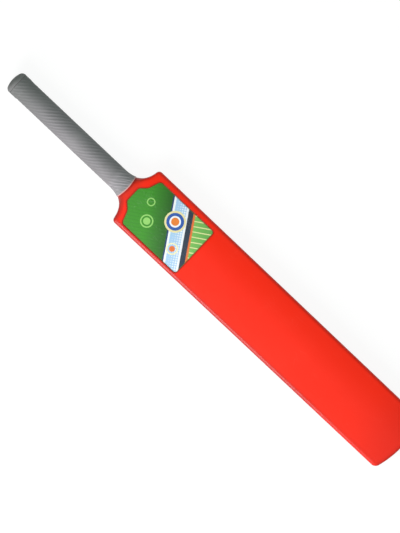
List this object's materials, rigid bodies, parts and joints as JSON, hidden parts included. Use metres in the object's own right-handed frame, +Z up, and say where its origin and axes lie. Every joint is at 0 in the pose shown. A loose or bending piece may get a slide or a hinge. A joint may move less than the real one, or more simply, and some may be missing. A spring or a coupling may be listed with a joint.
{
  "type": "plastic cricket bat",
  "caption": "Junior plastic cricket bat: hollow moulded blade with a spined back and bowed toe, ribbed rubber grip sleeve, end plug and a plain printed face label.",
  "frame": {"origin": "centre of the bounding box on the plane that the bat lies on, face up: the level spine of its back", "axes": "+X from the handle's end to the toe, +Z up out of the hitting face, +Y to the left for someone at the handle's end who looks along the bat at its face"},
  "size_m": [0.7598, 0.098, 0.0392],
  "materials": {
    "red_moulded_plastic": "glossy moulded polyethylene",
    "grey_rubber": "satin, ribbed",
    "grey_rubber_plug": "satin, smooth",
    "printed_label_film": "printed film, satin gloss"
  },
  "bodies": {
    "root": {"blade_shell": "red_moulded_plastic", "grip_sleeve": "grey_rubber", "handle_end_cap": "grey_rubber_plug", "face_label": "printed_label_film"}
  },
  "joints": []
}
